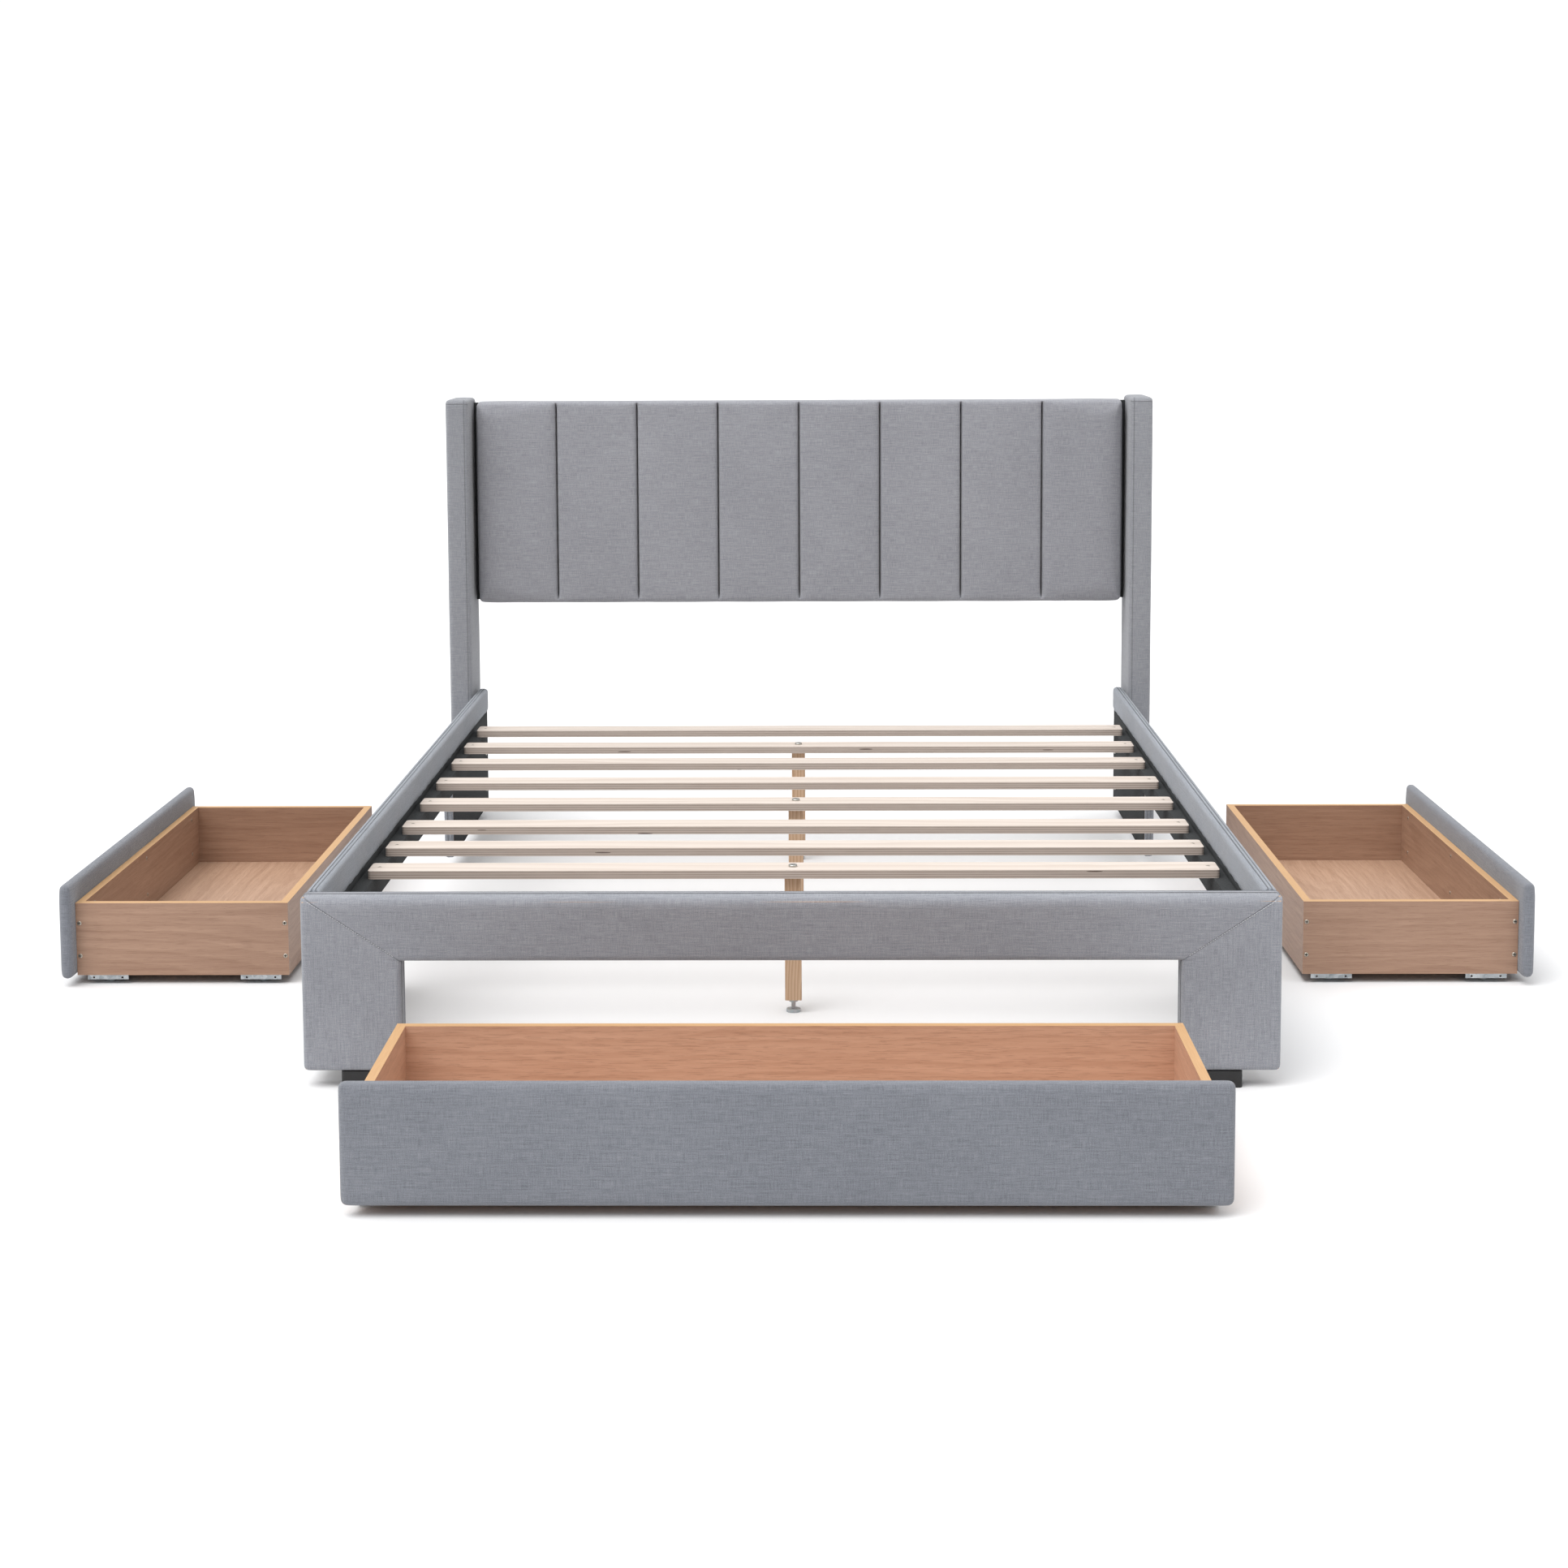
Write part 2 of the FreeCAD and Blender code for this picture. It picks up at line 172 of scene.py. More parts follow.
def group(name, inputs, outputs):
    """An empty node group with named sockets."""
    tree = bpy.data.node_groups.new(name, "ShaderNodeTree")
    for label, kind, value in inputs:
        socket = tree.interface.new_socket(label, in_out="INPUT", socket_type="NodeSocket" + kind)
        if value is not None:
            socket.default_value = value
    for label, kind in outputs:
        tree.interface.new_socket(label, in_out="OUTPUT", socket_type="NodeSocket" + kind)
    return tree, tree.nodes.new("NodeGroupInput").outputs, tree.nodes.new("NodeGroupOutput").inputs


def placed(tree, shared, inputs):
    """The outputs of a node group set into a material."""
    return node(tree, "Group", inputs, node_tree=shared).outputs


def linear(red, green, blue):
    """A colour picked as it looks on a screen, 0 to 255, as the shader wants it."""
    parts = np.array([red, green, blue]) / 255
    return (*np.where(parts <= 0.04045, parts / 12.92, ((parts + 0.055) / 1.055) ** 2.4), 1.0)


YARN = 0.0011                                           # from one yarn's middle to the next
TONE_RUN = 0.055                                        # how slowly a yarn's tone changes along it


def heathered_weave():
    """Plain weave of uneven yarns. Warp and weft yarns differ in tone along their length, cross
    over and under each other, and the whole cloth drifts a little in tone over a hand's width."""
    tree, given, result = group("heathered weave",
                                [("Cut", "Vector", None), ("Yarn", "Float", YARN)],
                                [("Tone", "Float"), ("Height", "Float")])
    flat = node(tree, "SeparateXYZ", {0: given["Cut"]}).outputs
    across = sums(tree, "DIVIDE", flat[0], given["Yarn"])
    along = sums(tree, "DIVIDE", flat[1], given["Yarn"])
    tones = []
    for wide, tall in ((1.0, TONE_RUN), (TONE_RUN, 1.0)):
        spot = node(tree, "CombineXYZ", {0: sums(tree, "MULTIPLY", across, wide),
                                         1: sums(tree, "MULTIPLY", along, tall)}).outputs[0]
        tones.append(node(tree, "TexNoise", {"Vector": spot, "Scale": 1.0, "Detail": 2.0}).outputs[0])
    yarns = sums(tree, "ADD", tones[0], tones[1])
    slub = node(tree, "TexNoise", {"Vector": given["Cut"], "Scale": 700.0, "Detail": 3.0}).outputs[0]
    long = node(tree, "CombineXYZ", {0: sums(tree, "MULTIPLY", across, 0.016),
                                     1: sums(tree, "MULTIPLY", along, 0.42)}).outputs[0]
    long = node(tree, "TexNoise", {"Vector": long, "Scale": 1.0, "Detail": 3.0}).outputs[0]
    drift = node(tree, "TexNoise", {"Vector": given["Cut"], "Scale": 4.0, "Detail": 2.0}).outputs[0]
    tone = sums(tree, "MULTIPLY_ADD", sums(tree, "SUBTRACT", yarns, 1.0), 0.9, 0.5)
    for noise, share in ((slub, 1.1), (long, 0.6), (drift, 0.35)):
        tone = sums(tree, "MULTIPLY_ADD", sums(tree, "SUBTRACT", noise, 0.5), share, tone)
    tree.links.new(clamped(tree, tone), result["Tone"])
    ribs = [sums(tree, "ABSOLUTE", sums(tree, "SINE", sums(tree, "MULTIPLY", way, math.pi)))
            for way in (across, along)]
    square = sums(tree, "ADD", sums(tree, "FLOOR", across), sums(tree, "FLOOR", along))
    swap = sums(tree, "ABSOLUTE", sums(tree, "MODULO", square, 2.0))
    over = sums(tree, "MULTIPLY", ribs[0], swap)
    under = sums(tree, "MULTIPLY", ribs[1], sums(tree, "SUBTRACT", 1.0, swap))
    height = sums(tree, "MULTIPLY_ADD", yarns, 0.5, sums(tree, "ADD", over, under))
    tree.links.new(height, result["Height"])
    return tree


WEAVE = heathered_weave()


def surface(name, colour, height=None, depth=0.0002, strength=0.5, roughness=0.6, **shine):
    """A material: colour and roughness may be sockets made by the function that paints them."""
    material = bpy.data.materials.new(name)
    material.use_nodes = True
    tree = material.node_tree
    shader = tree.nodes["Principled BSDF"]
    values = {"Base Color": colour(tree), "Roughness": roughness}
    values.update({key.replace("_", " "): value for key, value in shine.items()})
    if height is not None:
        bump = node(tree, "Bump", {"Height": height(tree), "Distance": depth, "Strength": strength})
        values["Normal"] = bump.outputs[0]
    fill(tree, shader, values)
    return material


SEAM_HALF = 0.0016                                      # how far a sewn line's dip reaches each way
SEAM_SHADE = 0.45                                       # how much painted shade darkens the sewn line
SEAM_DIP = 5.0                                          # its depth, in yarns' own heights


def upholstery(name, light, dark, seam=None):
    """The heathered cloth, read from a piece's own cut. seam(tree) is the distance to a sewn line,
    where the cloth dips and painted shade darkens the dip."""
    def weave(tree):
        if "weave" not in tree.nodes:
            cut = node(tree, "UVMap", uv_map="cut").outputs[0]
            made = placed(tree, WEAVE, {"Cut": cut, "Yarn": YARN})
            made[0].node.name = "weave"
        return tree.nodes["weave"].outputs

    def sewn(tree):
        if "sewn" not in tree.nodes:
            near = sums(tree, "DIVIDE", seam(tree), SEAM_HALF)
            near = sums(tree, "SUBTRACT", 1.0, sums(tree, "MINIMUM", near, 1.0))
            near.node.name = "sewn"
        return tree.nodes["sewn"].outputs[0]

    def colour(tree):
        cloth = blend(tree, weave(tree)["Tone"], linear(*dark), linear(*light))
        if seam is None:
            return cloth
        # Painted shade: near a sewn line the cloth turns towards half its dark tone, for the shade in the
        # dip.
        deep = linear(*[part * 0.5 for part in dark])
        return blend(tree, sums(tree, "MULTIPLY", sewn(tree), SEAM_SHADE), cloth, deep)

    def height(tree):
        threads = weave(tree)["Height"]
        return threads if seam is None else sums(tree, "MULTIPLY_ADD", sewn(tree), -SEAM_DIP, threads)

    return surface(name, colour, height, 0.0005, 0.55, 0.86,
                   Sheen_Weight=0.3, Sheen_Roughness=0.45, Specular_IOR_Level=0.25)


PAD_CLOTH = upholstery("grey_linen_headboard", (176, 177, 183), (124, 125, 132))

CHANNELS = 8
SHOULDER = 0.013                                        # each channel's rounding into the seam
SLIT = 0.021                                            # how much deeper the stitched line lies
PAD_ROUND = 0.011                                       # the rounding of the pad's outer edges
PLUMP = 0.0022                                          # how far a channel's middle stands out
PUFF_ROOM = 0.003                                       # left in front for the cloth to puff into
PUFF_CAP = 0.0035
pad_low, pad_high = (np.array(v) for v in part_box("headboard_pad"))
pad_low[1] += PUFF_ROOM
pad_high[1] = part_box("headboard_board")[1][1] + 0.0003
channel = (pad_high[0] - pad_low[0]) / CHANNELS

# Upright lines crowd towards each seam, where the cloth dives in. The cloth also wraps the board.
crowd = np.array([0, 0.0009, 0.0022, 0.004, 0.0065, 0.0095, 0.013, 0.022, 0.045, 0.072])
crowd = np.concatenate([crowd, [channel / 2], channel - crowd[:0:-1]])
upright = np.concatenate([pad_low[0] + channel * k + crowd for k in range(CHANNELS)] + [[pad_high[0]]])
points, quads, uvs = rounded_box([upright, lines(pad_low[1], pad_high[1], PAD_ROUND, 0.012),
                                  lines(pad_low[2], pad_high[2], PAD_ROUND, 0.0115)], PAD_ROUND)

# Beside a seam the surface falls along a quarter circle of the shoulder's radius, and on the seam
# itself it drops into the slit. The seam starts just under the top edge and ends above the hem.
seams = pad_low[0] + channel * np.arange(1, CHANNELS)
beside = np.abs(points[:, :1] - seams).min(axis=1)
reach = np.clip(1 - beside / SHOULDER, 0, 1)
dive = SHOULDER * (1 - np.sqrt(1 - reach ** 2)) + SLIT * np.clip(1 - beside / 0.0021, 0, 1)
below_top = np.clip((pad_high[2] - 0.003 - points[:, 2]) / 0.010, 0, 1)
above_hem = np.clip((points[:, 2] - pad_low[2] - 0.008) / 0.014, 0, 1)
front = np.clip((pad_low[1] + 0.030 - points[:, 1]) / 0.030, 0, 1)
plump = PLUMP * np.clip(beside / (channel / 2), 0, 1) ** 0.5
points[:, 1] += (dive * below_top * above_hem - plump + PLUMP) * front
held = (beside < 0.012) | (points[:, 1] > pad_low[1] + 0.036)

headboard_pad = piece("headboard_pad_cover", points, quads, uvs)
puffed(headboard_pad, held, 1.2, PUFF_CAP)
softened(headboard_pad)
headboard_pad.data.materials.append(PAD_CLOTH)
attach(headboard_pad, "bed")
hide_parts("headboard_pad")


# ---------------------------------------------------------------- Wings
# Two upright timber boxes, 160 mm deep, that run from the floor to the top of the headboard.
# Thin wadding and the same cloth go all round each, with one seam down the inner edge.

wing_inner, wing_front = (float(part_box("right_wing_cover")[0][k]) for k in (0, 1))
wing_top = float(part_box("right_wing_cover")[1][2])
WING_SEAM, WING_FOLD = 0.009, 0.012                     # in from the inner edge, and down from the top


def beside_wing_seam(tree):
    """Distance from the nearer seam on each wing's front face: the upright one beside the inner
    edge, or the fold under the top."""
    spot = node(tree, "SeparateXYZ", {0: node(tree, "TexCoord").outputs["Object"]}).outputs
    across = sums(tree, "SUBTRACT", sums(tree, "ABSOLUTE", spot[0]), wing_inner + WING_SEAM)
    fold = sums(tree, "ABSOLUTE", sums(tree, "SUBTRACT", spot[2], wing_top - WING_FOLD))
    back = sums(tree, "MAXIMUM", sums(tree, "SUBTRACT", spot[1], wing_front + 0.008), 0.0)
    return sums(tree, "ADD", sums(tree, "MINIMUM", sums(tree, "ABSOLUTE", across), fold), back)


WING_CLOTH = upholstery("grey_linen_wings", (168, 170, 175), (122, 124, 131), beside_wing_seam)


def drape(points, amount):
    """Long shallow waves, as cloth over wadding has: sines of the place in three directions."""
    x, y, z = points.T
    long = np.sin(9.1 * x + 5.0 * z) * np.sin(7.7 * z - 3.1 * x + 11.0 * y)
    return amount * (long + 0.5 * np.sin(23 * z + 17 * x + 13 * y))


def padded_board(name, node_name, radius, spacing, cloth, waves=0.0006, crown=0.0):
    """A board wrapped in wadding and cloth: a rounded box the size of its cover. Its broad faces
    wave a little, and fall back by the crown towards the top, half as much towards other edges."""
    low, high = (np.array(v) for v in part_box(node_name))
    points, quads, uvs = rounded_box([lines(a, b, radius, spacing) for a, b in zip(low, high)], radius)
    thin = int(np.argmin(high - low))
    side = np.sign(points[:, thin] - (low + high)[thin] / 2)
    margin = np.minimum(points - low, high - points)
    margin[:, thin] = 1.0
    flat = np.clip(margin.min(axis=1) / 0.03, 0, 1)
    fall = 0
    for distance, start, width, drop in ((high[2] - points[:, 2], 0.006, 0.026, crown),
                                         (margin[:, :2].min(axis=1), 0.004, 0.020, crown / 2),
                                         (points[:, 2] - low[2], 0.004, 0.020, crown / 2)):
        fall = fall + drop * np.clip(1 - (distance - start) / width, 0, 1) ** 2
    inward = flat * (waves - drape(points, waves)) + fall
    points[:, thin] -= side * np.minimum(inward, max(waves * 2.5, crown))
    item = softened(piece(name, points, quads, uvs))
    item.data.materials.append(cloth)
    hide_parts(node_name)
    return item


for side in ("left", "right"):
    wing = padded_board(side + "_wing_upholstery", side + "_wing_cover", 0.012, 0.022, WING_CLOTH)
    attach(wing, "bed")


# ---------------------------------------------------------------- Footboard and side rails
# Upside-down U boards wrapped in wadding and cloth. The cloth turns over the top and part of the
# way down the back. On the footboard it is cut in three and sewn on the mitre at both corners.

FLAP_BOTTOM = 0.268                                     # the height of the hem at the back
BAY_TOP = 0.212
HEM_HALF = 0.0005                                       # half the height of the step at the hem
HEM_STEP = 0.0032                                       # how far the back steps in below it
FACE_WAVES, FACE_SINK, FACE_DEEPEST = 0.0007, 0.0009, 0.0031
foot_low, foot_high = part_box("footboard_cover")
bay_half = float(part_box("foot_drawer_front_cover")[1][0]) + 0.0065


PILLAR_SEAM = 0.015                                     # from the front face to the seam in the bay


def beside_mitre(tree):
    """Distance from the nearest seam: the line that joins the outer and inner corners, or the one
    that runs down each pillar's side of the bay."""
    spot = node(tree, "SeparateXYZ", {0: node(tree, "TexCoord").outputs["Object"]}).outputs
    wide, tall = float(foot_high[0]) - bay_half, float(foot_high[2]) - BAY_TOP
    whole = math.hypot(wide, tall)
    across = sums(tree, "SUBTRACT", sums(tree, "ABSOLUTE", spot[0]), bay_half)
    up = sums(tree, "SUBTRACT", spot[2], BAY_TOP)
    slant = sums(tree, "SUBTRACT", sums(tree, "MULTIPLY", across, tall / whole),
                 sums(tree, "MULTIPLY", up, wide / whole))
    inner = sums(tree, "ABSOLUTE", sums(tree, "SUBTRACT", spot[1], float(foot_low[1]) + PILLAR_SEAM))
    outside = sums(tree, "MAXIMUM", sums(tree, "SUBTRACT", across, 0.003), 0.0)
    inner = sums(tree, "ADD", inner, sums(tree, "ADD", outside, sums(tree, "MAXIMUM", up, 0.0)))
    return sums(tree, "MINIMUM", sums(tree, "ABSOLUTE", slant), inner)


FOOTBOARD_CLOTH = upholstery("grey_linen_footboard", (169, 171, 178), (120, 123, 130), beside_mitre)
RAIL_CLOTH = upholstery("grey_linen_rails", (165, 170, 178), (118, 123, 132))


def portal_faces(us, zs, bay, bay_top):
    """Faces of the grid of us by zs that lie outside the bay, and the edges round their border."""
    index = np.arange(us.size * zs.size).reshape(us.size, zs.size)
    quad = np.stack([index[:-1, :-1], index[1:, :-1], index[1:, 1:], index[:-1, 1:]], axis=-1)
    middle_u, middle_z = (us[1:] + us[:-1]) / 2, (zs[1:] + zs[:-1]) / 2
    in_bay = (np.abs(middle_u - sum(bay) / 2) < (bay[1] - bay[0]) / 2)[:, None] & (middle_z < bay_top)
    quad = quad[~in_bay]
    edges = np.concatenate([quad[:, [k, (k + 1) % 4]] for k in range(4)])
    known = {tuple(edge) for edge in edges.tolist()}
    border = np.array([edge for edge in edges.tolist() if (edge[1], edge[0]) not in known])
    return quad, border


def upholstered_portal(name, node_name, place, span, bay, low, high, bay_top, depth, rounds, spacing,
                       cloth, mitred=False):
    """An upside-down U in one closed skin. Near any border the face falls back along a quarter
    circle of that border's radius; the back does the same, and steps in below the hem. The rounds
    are the front's, the top edge's, the top edge's at the back, and the back's."""
    side_round, top_round, back_top_round, back_round = rounds
    middle = sum(bay) / 2
    us = np.concatenate([lines(span[0], bay[0], side_round, spacing),
                         even(bay[0], bay[1], 2 * spacing)[1:-1],
                         lines(bay[1], span[1], side_round, spacing)])
    zs = np.concatenate([low + bend(side_round),
                         even(low + side_round, bay_top, 2 * spacing)[:-1],
                         bay_top + bend(side_round),
                         even(bay_top + side_round, FLAP_BOTTOM - HEM_HALF, spacing),
                         even(FLAP_BOTTOM + HEM_HALF, high - top_round, spacing),
                         (high - bend(top_round))[::-1]])
    quad, border = portal_faces(us, zs, bay, bay_top)
    u, z = (v.ravel() for v in np.meshgrid(us, zs, indexing="ij"))

    # Distance in from each border, with the way out across it. The bay's distance is measured
    # from its nearest point, so its upper corners turn smoothly.
    tiny = 1e-7
    beside = np.where(u <= bay[0], u - bay[0] - tiny, np.where(u >= bay[1], u - bay[1] + tiny, 0))
    above = np.where(z >= bay_top, z - bay_top + tiny, 0)
    near = np.hypot(beside, above) + 1e-12
    one = np.ones_like(u)
    borders = [(u - span[0], -one, 0 * one, side_round, back_round),
               (span[1] - u, one, 0 * one, side_round, back_round),
               (z - low, 0 * one, -one, side_round, back_round),
               (high - z, 0 * one, one, top_round, back_top_round),
               (near, -beside / near, -above / near, side_round, back_round)]

    fall, away, shift, back_shift = 0 * u, 0 * u, np.zeros((u.size, 2)), np.zeros((u.size, 2))
    for distance, out_u, out_z, radius, back_radius in borders:
        reach = np.clip(1 - distance / radius, 0, 1)
        fall = np.maximum(fall, radius * (1 - np.sqrt(1 - reach ** 2)))
        way = np.stack([out_u, out_z], axis=1)
        shift += (radius * (np.arcsin(reach) - reach))[:, None] * way
        reach = np.clip(1 - distance / back_radius, 0, 1)
        back_shift += (back_radius * (np.arcsin(reach) - reach))[:, None] * way
        away = np.maximum(away, back_radius * (1 - np.sqrt(1 - reach ** 2)))

    # Outer corners are rounded in the plane too: square rings become circles about a core point.
    own_low = np.where((z < bay_top) & (u > middle), bay[1], span[0]) + side_round
    own_high = np.where((z < bay_top) & (u < middle), bay[0], span[1]) - side_round
    core = np.stack([np.clip(u, own_low, own_high), np.clip(z, low + side_round, high - side_round)], axis=1)
    out = np.stack([u, z], axis=1) - core
    squeeze = np.abs(out).max(axis=1) / np.maximum(np.hypot(*out.T), 1e-12)
    plane = core + out * np.where(squeeze > 0, squeeze, 1)[:, None]

    # Creases fan out from the bay's corners, and the whole face waves a little.
    fan = np.arctan2(above, np.abs(beside))
    crease = 0.0022 * np.sin(fan * 13) * np.exp(-near / 0.018) * (above > tiny) * (np.abs(beside) > tiny)
    inward = np.clip(1 - fall / 0.003, 0, 1)
    mitre = np.abs((np.abs(u) - bay[1]) * (high - bay_top) - (z - bay_top) * (span[1] - bay[1]))
    mitre /= math.hypot(high - bay_top, span[1] - bay[1])
    calm = np.clip(mitre / 0.02, 0, 1) if mitred else 1.0
    valley = 0.0007 * np.exp(-(mitre / 0.008) ** 2) if mitred else 0.0
    waves = drape(np.stack([u, 0 * u, z], axis=1), FACE_WAVES)
    front = fall + inward * np.minimum(waves * calm + crease + valley + FACE_SINK, FACE_DEEPEST)
    back = np.where(z > FLAP_BOTTOM, depth, depth - HEM_STEP) - away
    points = np.concatenate([place(plane, front), place(plane, back)])
    wrap = np.concatenate([border[:, ::-1], border + u.size], axis=1)
    quads = np.concatenate([quad[:, ::-1], quad + u.size, wrap[:, [2, 3, 0, 1]]])

    flat = np.stack([u, z], axis=1)
    way = shift / np.maximum(np.hypot(*shift.T), 1e-12)[:, None]
    front_cut, side_cut = flat + shift, flat + shift + way * (back - front)[:, None]
    cut = np.concatenate([front_cut[quad[:, ::-1]], (flat + back_shift)[quad],
                          np.concatenate([front_cut, side_cut])[quads[2 * len(quad):]]])
    middles = points[quads].mean(axis=1)
    slope = (high - bay_top) / (bay[0] - span[0])
    on_pillar = middles[:, 2] < bay_top + (np.abs(middles[:, 0]) - bay[1]) * slope
    if mitred:
        cut[on_pillar] = cut[on_pillar][..., ::-1]
    a, b, c, d = (points[quads[:, k]] for k in range(4))
    if (np.cross(c - a, d - b) * (a + b + c + d)).sum() < 0:
        quads, cut = quads[:, ::-1], cut[:, ::-1]
    item = softened(piece(name, points, quads, cut.reshape(-1, 2)))
    item.data.materials.append(cloth)
    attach(item, "bed")
    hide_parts(node_name)


def facing_foot(plane, deep):
    return np.stack([plane[:, 0], foot_low[1] + deep, plane[:, 1]], axis=1)


upholstered_portal("footboard_upholstery", "footboard_cover", facing_foot, (foot_low[0], foot_high[0]),
                   (-bay_half, bay_half), foot_low[2], foot_high[2], BAY_TOP, foot_high[1] - foot_low[1],
                   (0.009, 0.020, 0.014, 0.005), 0.007, FOOTBOARD_CLOTH, mitred=True)

left_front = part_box("left_drawer_front_cover")
side_bay = [float(left_front[0][1]) - 0.008, float(left_front[1][1]) + 0.008]
rail_low, rail_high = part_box("right_rail_cover")
rail_depth = rail_high[0] - rail_low[0]


def facing_side(way):
    """Places a rail's own plane, Y by Z, at a depth in from its outer face."""
    def place(plane, deep):
        return np.stack([way * (rail_high[0] - deep), plane[:, 0], plane[:, 1]], axis=1)
    return place


for side, way in (("left", -1), ("right", 1)):
    upholstered_portal(side + "_rail_upholstery", side + "_rail_cover", facing_side(way),
                       (rail_low[1], rail_high[1]), side_bay, rail_low[2], rail_high[2], BAY_TOP,
                       rail_depth, (0.008, 0.010, 0.008, 0.005), 0.011, RAIL_CLOTH)

# Pale thread shows as short stitches along each mitre, sewn from the outer to the inner corner.
THREAD = surface("pale_thread", lambda tree: linear(204, 206, 210), roughness=0.7)


def stitches(name, start, end, pitch, length, radius):
    """A row of short threads: each is a tube of five rings whose radius swells in the middle."""
    rings, turns = 5, 6
    start, end = np.array(start), np.array(end)
    whole = np.linalg.norm(end - start)
    way = (end - start) / whole
    side = np.cross(way, [0, 1, 0])
    turn = np.linspace(0, 2 * math.pi, turns + 1)[:-1]
    ring = np.cos(turn)[:, None] * side + np.sin(turn)[:, None] * np.array([0, 1.0, 0])
    place = np.linspace(-0.5, 0.5, rings)
    swell = radius * np.sqrt(np.clip(1.02 - (2 * place) ** 2, 0, 1))
    tube = place[:, None, None] * length * way + swell[:, None, None] * ring
    middles = start + way * np.arange(pitch, whole - pitch, pitch)[:, None]
    points = (middles[:, None, None, :] + tube[None]).reshape(-1, 3)
    index = np.arange(rings * turns).reshape(rings, turns)
    nextto = np.roll(index, -1, axis=1)
    quad = np.stack([index[:-1], nextto[:-1], nextto[1:], index[1:]], axis=-1).reshape(-1, 4)
    quads = (quad[None] + index.size * np.arange(len(middles))[:, None, None]).reshape(-1, 4)
    item = piece(name, points, quads)
    item.data.materials.append(THREAD)
    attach(item, "bed")


for side, way in (("left", -1), ("right", 1)):
    stitches(side + "_mitre_stitching",
             (way * (foot_high[0] - 0.010), foot_low[1] + 0.0010, foot_high[2] - 0.008),
             (way * (bay_half + 0.008), foot_low[1] + 0.0010, BAY_TOP + 0.006),
             pitch=0.0044, length=0.0034, radius=0.0005)


# ---------------------------------------------------------------- Black lining and slat ledgers
# Thin black non-woven cloth is stapled over the backs of the rails, footboard and headboard.
# The ledgers that carry the slats are battens screwed to the rails and wrapped in the same.

def object_place(tree, turn=(0, 0, 0), scale=(1, 1, 1)):
    """The piece's own place in metres, turned and scaled."""
    place = node(tree, "TexCoord").outputs["Object"]
    return node(tree, "Mapping", {"Vector": place, "Rotation": turn, "Scale": scale}).outputs[0]


def felted(tree):
    noise = node(tree, "TexNoise", {"Vector": object_place(tree), "Scale": 320.0, "Detail": 4.0})
    return blend(tree, noise.outputs[0], linear(48, 49, 50), linear(74, 76, 77))


def embossed(tree):
    dots = node(tree, "TexVoronoi", {"Vector": object_place(tree), "Scale": 420.0})
    return dots.outputs["Distance"]


LINING = surface("black_lining", felted, embossed, 0.0004, 0.6, 0.95, Specular_IOR_Level=0.1)


def finish_nodes(material, *names):
    """Gives CAD nodes their material."""
    for name in names:
        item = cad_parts[name]
        item.data.materials.clear()
        item.data.materials.append(material)


LINING_THICK = 0.0007
MARGIN = 0.0035                                         # from a board's edge to its lining's
PANEL_MARGIN = 0.0045                                   # the same above and below on the headboard
STAPLES = 0.06                                          # from one staple to the next
RIPPLE = 0.00015
LINING_FACE = 0.0012                                    # from the board to the lining's outer face


def stretched_lining(name, place, span, bay, low, high, bay_top, face):
    """A flat sheet stapled round its border. Between staples it lies a little closer to the board:
    a cosine along the border that dies away over 25 mm, on top of long shallow waves."""
    us = np.concatenate([even(span[0], bay[0], 0.015), even(bay[0], bay[1], 0.03)[1:-1],
                         even(bay[1], span[1], 0.015)])
    zs = np.concatenate([even(low, bay_top, 0.015)[:-1], even(bay_top, high, 0.015)])
    us, zs = np.unique(us), np.unique(zs)
    quads = portal_faces(us, zs, bay, bay_top)[0]
    u, z = (v.ravel() for v in np.meshgrid(us, zs, indexing="ij"))
    edge = np.minimum.reduce([u - span[0], span[1] - u, z - low, high - z])
    sag = RIPPLE * (1 - np.cos(2 * math.pi * (u + z) / STAPLES)) * np.exp(-edge / 0.025)
    sag += 0.00025 - drape(np.stack([u, 0 * u, z], axis=1), RIPPLE)
    flat = np.stack([u, z], axis=1)
    points, deeper = (place(flat, face - sag + lift) for lift in (0, 0.001))
    a, b, c = (points[quads[0, k]] for k in range(3))
    if np.dot(np.cross(b - a, c - a), deeper[quads[0, 0]] - a) < 0:
        quads = quads[:, ::-1]
    item = piece(name, points, quads, flat[quads].reshape(-1, 2))
    cloth = item.modifiers.new("lining cloth", "SOLIDIFY")
    cloth.thickness, cloth.offset = LINING_THICK, -1
    item.data.materials.append(LINING)
    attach(item, "bed")
    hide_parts("linings")


lining_face = MARGIN - LINING_FACE                      # how far that lies in from the cover's
stretched_lining("footboard_lining", facing_foot,
                 (foot_low[0] + MARGIN, foot_high[0] - MARGIN), (-bay_half - MARGIN, bay_half + MARGIN),
                 foot_low[2] + MARGIN, FLAP_BOTTOM, BAY_TOP + MARGIN,
                 foot_high[1] - foot_low[1] - lining_face)
for side, way in (("left", -1), ("right", 1)):
    stretched_lining(side + "_rail_lining", facing_side(way),
                     (rail_low[1] + MARGIN, rail_high[1] - MARGIN),
                     (side_bay[0] - MARGIN, side_bay[1] + MARGIN),
                     rail_low[2] + MARGIN, FLAP_BOTTOM, BAY_TOP + MARGIN, rail_depth - lining_face)

panel_half = pad_high[0]
panel_low, panel_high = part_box("headboard_board")


def behind_panel(plane, deep):
    return np.stack([plane[:, 0], panel_high[1] + deep, plane[:, 1]], axis=1)


stretched_lining("headboard_lining", behind_panel, (-panel_half, panel_half), (0, 0),
                 panel_low[2] + PANEL_MARGIN, panel_high[2] - PANEL_MARGIN, panel_low[2] + PANEL_MARGIN,
                 LINING_FACE)
finish_nodes(LINING, "left_slat_ledger", "right_slat_ledger")


